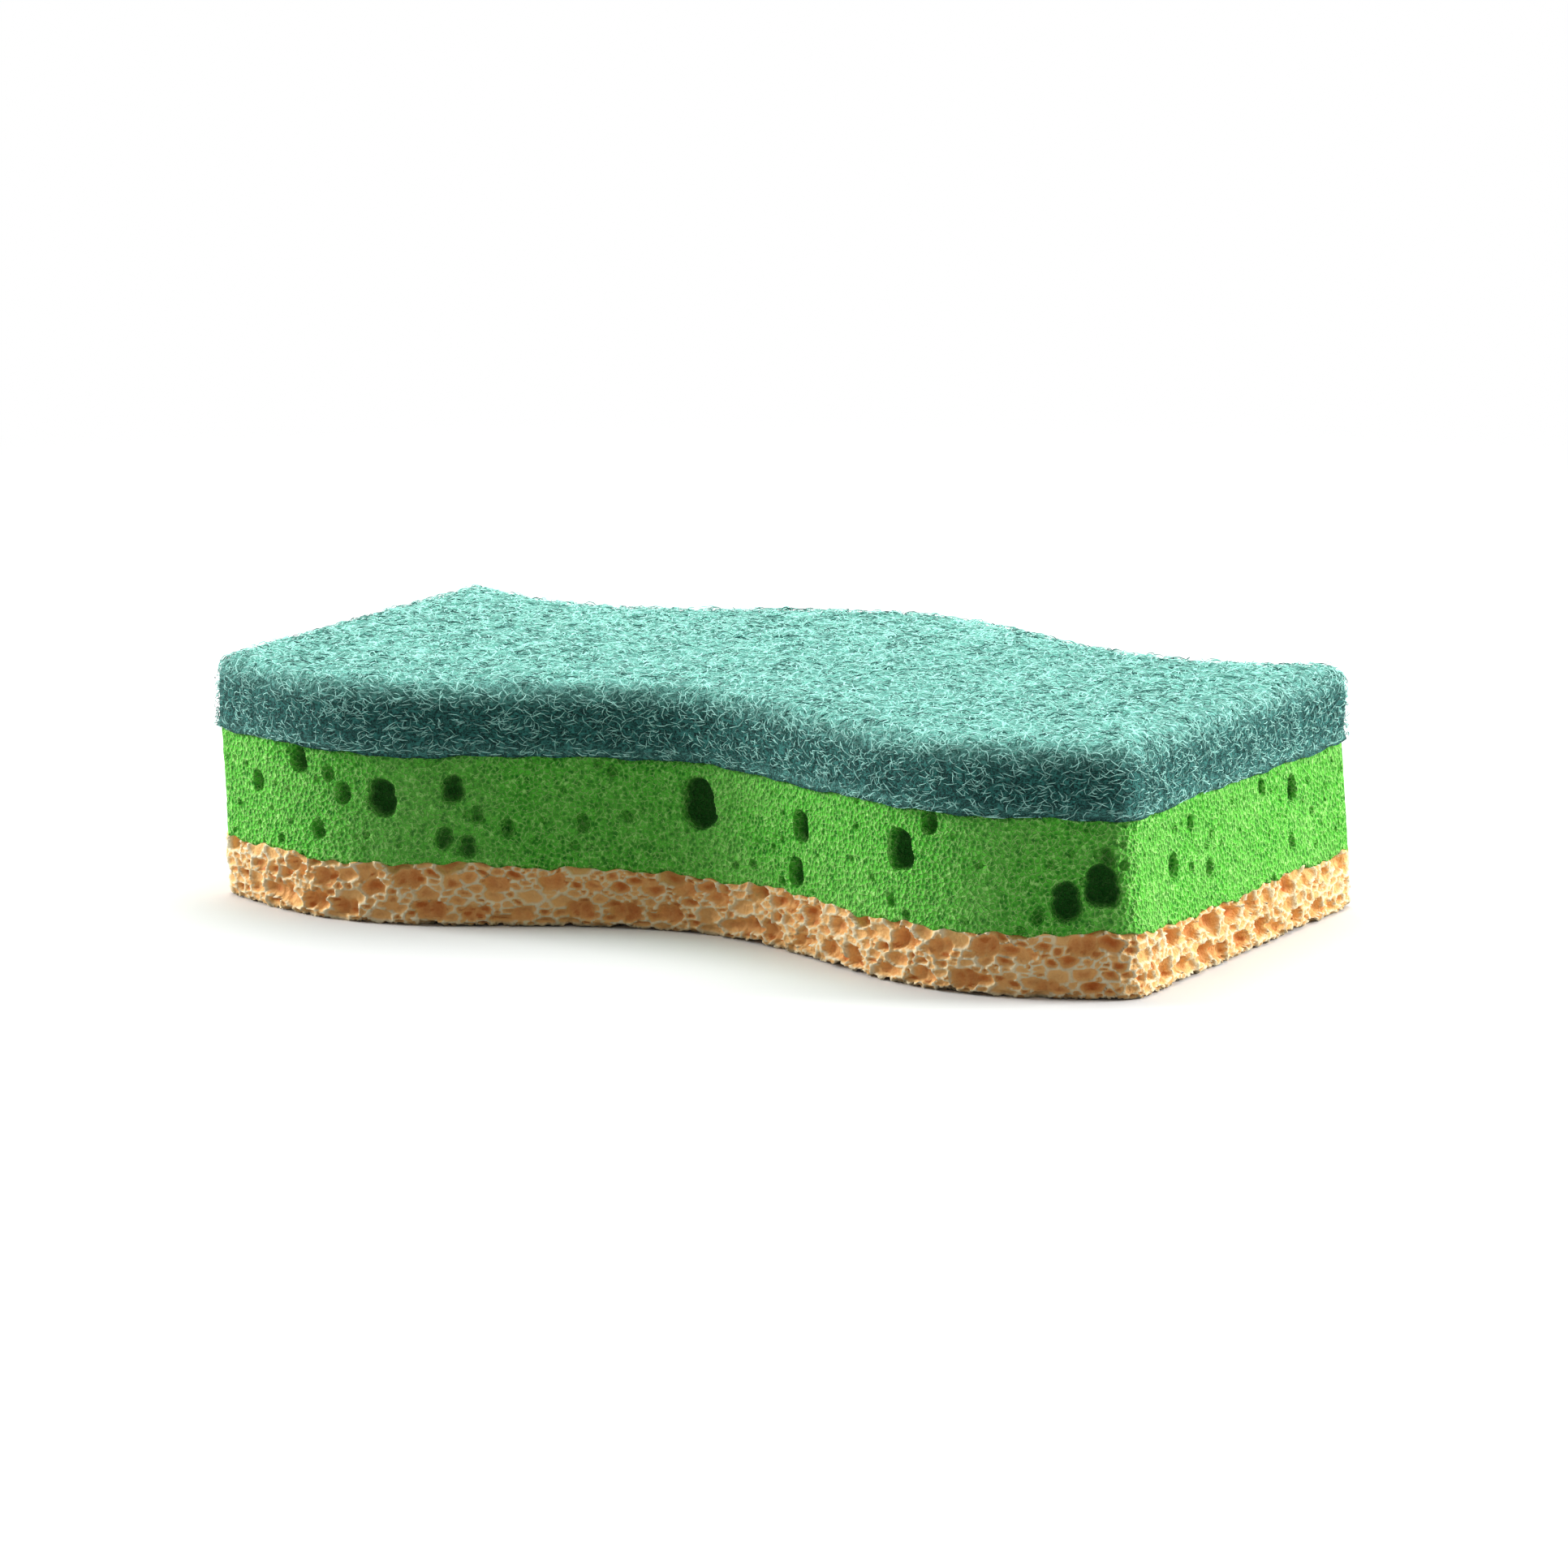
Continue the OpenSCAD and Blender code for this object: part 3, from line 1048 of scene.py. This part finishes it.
@dataclass
class ScouringPad:
    """The fibre pad: a dense mat and the strands that lie tangled over it."""

    outline: Outline
    spacing: float = 0.6 * MM
    top_spacing: float = 0.55 * MM
    roll: float = 2.8 * MM
    crown: float = 0.4 * MM
    lip: float = 1.5 * MM
    sink: float = 0.3 * MM
    strand_pieces: int = 3
    strands_per_piece: int = 9000
    joints: int = 4
    strand_radius: float = 0.062 * MM
    strand_step: Pair = (0.32 * MM, 0.72 * MM)
    least_step: float = 0.08 * MM
    peak: Pair = (0.02, 0.3)
    end_lift: Pair = (-0.3, 0.36)
    spread_of_widths: Pair = (0.8, 1.25)
    joint_bend: float = 0.3
    whole_bend: float = 0.25
    side_lean: float = 0.3
    top_facing: float = 0.6
    hem: float = 0.15 * MM
    # plain share; painted light by how far a strand faces up; painted light by how high it stands
    # over the mat, painted shade when low; random scatter
    tones_and_shade: tuple[float, float, float, float] = (0.12, 0.7, 0.8, 0.16)
    roll_rows: int = 8
    top_insets: tuple[float, ...] = (0.45, 0.95, 1.5)
    settled: float = 1 * MM
    cover_gap: float = 0.45 * MM
    lumps: tuple[Ripple, ...] = (Ripple(1 * MM, 0.16, 5.0), Ripple(4 * MM, 0.14, 7.0))

    def top(self) -> float:
        """Height of the rolled edge's end, under the crown."""
        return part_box("scouring_pad")[1].z - self.crown

    def mat(self) -> Object:
        """The pad's plain form, set in a little so that the strands fill it out."""
        base, top = UPPER_SEAM.height, self.top() - self.sink
        shoulder = top - self.roll
        rise = np.linspace(base, shoulder, round((shoulder - base) / self.spacing) + 1)
        turn = np.linspace(0, math.pi / 2, self.roll_rows + 1)[1:]
        inward = np.array(self.top_insets) * MM + self.roll
        wall = self.sink * np.clip((rise - base) / self.settled, 0, 1)
        bend = self.roll * (1 - np.cos(turn))
        inset = np.r_[self.lip, wall, self.sink * np.cos(turn) + bend, inward]
        height = np.r_[base, rise, shoulder + self.roll * np.sin(turn), 0 * inward + top]
        band = Band(self.outline, self.spacing, inset, height, 0 * inset)
        sheet = Sheet("scouring_mat", band.columns, band.rows)
        column, _, places, _ = band.under(sheet)
        settle = np.clip(1 - (places[:, 2] - base) / (shoulder - base), 0, 1)
        places[:, 2] += UPPER_SEAM.lift(column / band.columns) * settle
        side = lay(sheet.piece, places)

        width = 1.1 * self.outline.end_width
        steps = round(self.outline.length / self.top_spacing), round(width / self.top_spacing)
        cover = Sheet("top_face", *steps)
        places = spread(self.outline, cover, inset[-1] + self.cover_gap)
        along = places[:, 0] / (self.outline.length / 2)
        across = (places[:, 1] - self.outline.wave(places[:, 0])) / (self.outline.end_width / 2)
        places[:, 2] = top + self.crown * (1 - along**4) * np.clip(1 - across**2, 0, 1)
        piece = join([side, lay(cover.piece, places)])
        fill_between(piece, top - 0.1 * MM, top + self.crown)
        close_up(piece)
        return piece

    def roughen(self, piece: Object) -> None:
        """Breaks up the plain form into lumps and pits, and marks how far it faces up."""
        places, ways = (read_rows(piece.data.vertices, name, 3) for name in ("co", "normal"))
        free = np.clip((places[:, 2] - UPPER_SEAM.height) / self.settled, 0, 1)
        lumps = (swell(places, *self.lumps) * free)[:, None]
        # the facing mark sets the mat's painted light on top and painted shade on the sides
        lay(piece, places + ways * lumps, facing=np.clip(ways[:, 2], 0, 1))

    def starts(self, rng: np.random.Generator, count: int) -> Array:
        """Random places over the top and the sides of the pad, in even density.

        Args:
            rng: Source of random numbers.
            count: How many to give.

        Returns:
            One row a place.
        """
        ring = self.outline.ring(0, self.spacing)
        base, top = UPPER_SEAM.height, self.top()
        half = self.outline.end_width / 2
        side_area = len(ring) * self.spacing * (top - base)
        on_side = rng.random(count) < side_area / (side_area + 2 * half * self.outline.length)
        walls = np.column_stack(
            [ring[rng.integers(0, len(ring), count)], rng.uniform(base, top, count)]
        )
        x = rng.uniform(-0.5, 0.5, count) * self.outline.length
        y = rng.uniform(-half, half, count) + self.outline.wave(x)
        faces = np.column_stack([x, y, np.full(count, top + self.crown)])
        return np.where(on_side[:, None], walls, faces)

    def strands(self, tree: BVHTree, index: int) -> Object:
        """One piece of strands, laid over the pad's form.

        Args:
            tree: The pad's plain form.
            index: Number of the piece, which also fixes its random numbers.

        Returns:
            The piece, with each strand's colour share marked: its random share plus painted light
            and shade.
        """
        rng = np.random.default_rng(100 + index)
        count, joints = self.strands_per_piece, self.joints
        starts = self.starts(rng, count)
        steps = rng.uniform(*self.strand_step, count)
        turns = rng.normal(0, self.joint_bend, (count, joints))
        turns = turns + rng.normal(0, self.whole_bend, (count, 1))
        spins = rng.uniform(0, 2 * math.pi, count)
        leans = rng.normal(0, self.side_lean, count)
        peaks = rng.uniform(*self.peak, count) * MM
        ends = rng.uniform(*self.end_lift, (count, 2)) * MM
        arch = np.sin(np.linspace(0, math.pi, joints))
        taper = 0.45 + 0.55 * arch**0.5
        widths = rng.uniform(*self.spread_of_widths, count)
        plain, light_by_facing, light_by_lift, scatter = self.tones_and_shade
        share = np.linspace(0, 1, joints)
        section = self.strand_section()
        curve = bpy.data.curves.new(f"strands_{index}", "CURVE")
        curve.dimensions = "3D"
        curve.bevel_mode = "OBJECT"
        curve.bevel_object = section
        curve.use_fill_caps = True
        tones_and_shade: list[float] = []
        for i in range(count):
            lift = peaks[i] * arch + ends[i, 0] * (1 - share) + ends[i, 1] * share
            spots, up = self.walk(
                tree, Vector(starts[i]), spins[i], leans[i], steps[i], turns[i], lift
            )
            if min((b - a).length for a, b in zip(spots, spots[1:])) < self.least_step:
                continue
            spline = curve.splines.new("POLY")
            spline.points.add(joints - 1)
            spline.points.foreach_set("co", [c for spot in spots for c in (*spot, 1.0)])
            spline.points.foreach_set("radius", widths[i] * taper * (0.8 + 0.2 * up))
            # painted light on strands that face up or stand high, painted shade on those on the
            # sides or low
            tone_and_shade = plain + light_by_facing * up + light_by_lift * lift.mean() / MM
            tones_and_shade.append(tone_and_shade + rng.normal(0, scatter))
        select_only(linked(curve))
        bpy.ops.object.convert(target="MESH")
        bpy.ops.object.shade_smooth()
        bpy.data.objects.remove(section)
        piece = bpy.context.object
        mark(piece, "tone_and_shade", np.repeat(tones_and_shade, len(piece.data.vertices) // len(tones_and_shade)))
        return piece

    def walk(
        self,
        tree: BVHTree,
        place: Vector,
        spin: float,
        lean: float,
        step: float,
        turns: Array,
        lift: Array,
    ) -> tuple[list[Vector], float]:
        """Walks one strand over the pad's form.

        Args:
            tree: The pad's plain form.
            place: Where it starts.
            spin: The way it starts off on the top, in radians.
            lean: How far it starts off from level on a side.
            step: Length of a step.
            turns: Turn at each joint, in radians.
            lift: Height of each joint over the form.

        Returns:
            The joints, and how far the start faces up, from 0 to 1.
        """
        normal = tree.find_nearest(place)[1]
        up = max(0.0, normal.z)
        step *= 0.75 + 0.25 * up
        if up > self.top_facing:
            heading = Vector((math.cos(spin), math.sin(spin), 0.0))
        else:
            heading = Vector((-normal.y, normal.x, lean)) * (1 if spin > math.pi else -1)
        spots = []
        for turn, high in zip(turns, lift):
            near, normal, _, _ = tree.find_nearest(place)
            heading = (heading - normal * heading.dot(normal)).normalized()
            heading = heading * math.cos(turn) + normal.cross(heading) * math.sin(turn)
            spot = near + normal * (self.sink * 0.4 + high)
            spot.z = max(spot.z, UPPER_SEAM.height + self.hem)
            spots.append(spot)
            place = near + heading * step
        return spots, up

    def strand_section(self) -> Object:
        """The three-sided section of a strand."""
        curve = bpy.data.curves.new("strand_section", "CURVE")
        spline = curve.splines.new("POLY")
        spline.points.add(2)
        for i, point in enumerate(spline.points):
            turn, radius = 2 * math.pi * i / 3, self.strand_radius
            point.co = (radius * math.cos(turn), radius * math.sin(turn), 0, 1)
        spline.use_cyclic_u = True
        return linked(curve)

    def build(self) -> tuple[Object, list[Object]]:
        """Models the pad.

        Returns:
            The mat, and the pieces of strands over it.
        """
        mat = self.mat()
        tree = BVHTree.FromObject(mat, bpy.context.evaluated_depsgraph_get())
        strands = [self.strands(tree, i + 1) for i in range(self.strand_pieces)]
        self.roughen(mat)
        return mat, strands


@dataclass
class Studio:
    """A plain pale floor, soft lamps and the camera at the photograph's angle."""

    eye: tuple = (0.392, -0.714, 0.1715)
    aim: tuple = (0.0, 0.0, 0.0135)
    lens: float = 163.0
    ambient: float = 0.3
    floor_size: float = 8.0
    floor_seen: float = 0.86
    floor_bounced: float = 0.35
    fade: Pair = (0.1, 0.4)
    lamps: tuple = (
        ("right", (0.85, 0.55, 0.35), 0.4, 13.5),
        ("left", (-0.85, -0.2, 0.3), 0.4, 9.0),
        ("over", (-0.1, 0.3, 1.1), 0.9, 10.5),
    )

    def camera_only(self, shader: Shader) -> Value:
        """1 for what the camera sees, directly or in a reflection, and 0 for light that bounces."""
        rays = shader.node("ShaderNodeLightPath", {}, {}).outputs
        kinds = ("Camera", "Glossy", "Transmission")
        direct, glossy, clear = (Value(shader, rays[f"Is {kind} Ray"]) for kind in kinds)
        return direct.over(glossy).over(clear)

    def floor(self) -> None:
        """A pale sheet under the sponge that fades into the white backdrop far from it."""
        bpy.ops.object.select_all(action="DESELECT")
        bpy.ops.mesh.primitive_plane_add(size=self.floor_size)
        sheet = bpy.context.object
        sheet.name = "floor"
        shader = Shader.finish("floor")
        seen = self.camera_only(shader)
        settings, inputs = {"operation": "LENGTH"}, {0: shader.place()}
        away = shader.number("ShaderNodeVectorMath", settings, inputs, "Value").ramp(*self.fade)
        dim, pale = (
            shader.node("ShaderNodeBsdfDiffuse", {}, {"Color": (grey, grey, grey, 1.0)})
            for grey in (self.floor_bounced, self.floor_seen)
        )
        white = shader.node("ShaderNodeEmission", {}, {"Strength": 1.0})
        last = shader.blend(away * seen, shader.blend(seen, dim, pale), white)
        sheet.data.materials.append(shader.output(last))

    def face(self, thing: Object) -> None:
        """Turns a lamp or camera towards the sponge."""
        away = Vector(self.aim) - thing.location
        thing.rotation_euler = away.to_track_quat("-Z", "Y").to_euler()

    def light(self) -> None:
        """Hangs the square soft lamps: name, place, width in metres and power in watts."""
        for name, place, size, power in self.lamps:
            bpy.ops.object.light_add(type="AREA", location=place)
            lamp = bpy.context.object
            lamp.name = name
            lamp.data.size = size
            lamp.data.energy = power
            self.face(lamp)

    def backdrop(self) -> None:
        """A world that looks white and lights the sponge softly."""
        shader = Shader(bpy.data.worlds.new("studio"))
        soft, white = (
            shader.node("ShaderNodeBackground", {}, {"Color": (1, 1, 1, 1), "Strength": strength})
            for strength in (self.ambient, 1.0)
        )
        last = shader.blend(self.camera_only(shader), soft, white)
        bpy.context.scene.world = shader.output(last)

    def build(self) -> None:
        """Sets up the whole studio."""
        self.floor()
        self.light()
        self.backdrop()
        bpy.ops.object.camera_add(location=self.eye)
        camera = bpy.context.object
        camera.data.lens = self.lens
        camera.data.clip_start = 0.01
        self.face(camera)
        bpy.context.scene.camera = camera
        bpy.context.scene.view_settings.view_transform = "Standard"


def main() -> None:
    """Builds the three layers and the studio, in order, and reports each piece."""
    logging.basicConfig(level=logging.INFO, format="%(message)s")
    outline = Outline.of_node("scouring_pad")

    foam = FoamCore(outline).build()
    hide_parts("foam_core")
    finish_piece(foam, FoamFinish().build())

    cellulose = CelluloseLayer(outline).build()
    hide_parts("cellulose_layer")
    finish_piece(cellulose, CelluloseFinish().build())

    mat, strands = ScouringPad(outline).build()
    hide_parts("scouring_pad")
    finish_piece(mat, MatFinish().build())
    strand_finish = StrandFinish().build()
    for piece in strands:
        finish_piece(piece, strand_finish)

    Studio().build()


if __name__ == "__main__":
    main()
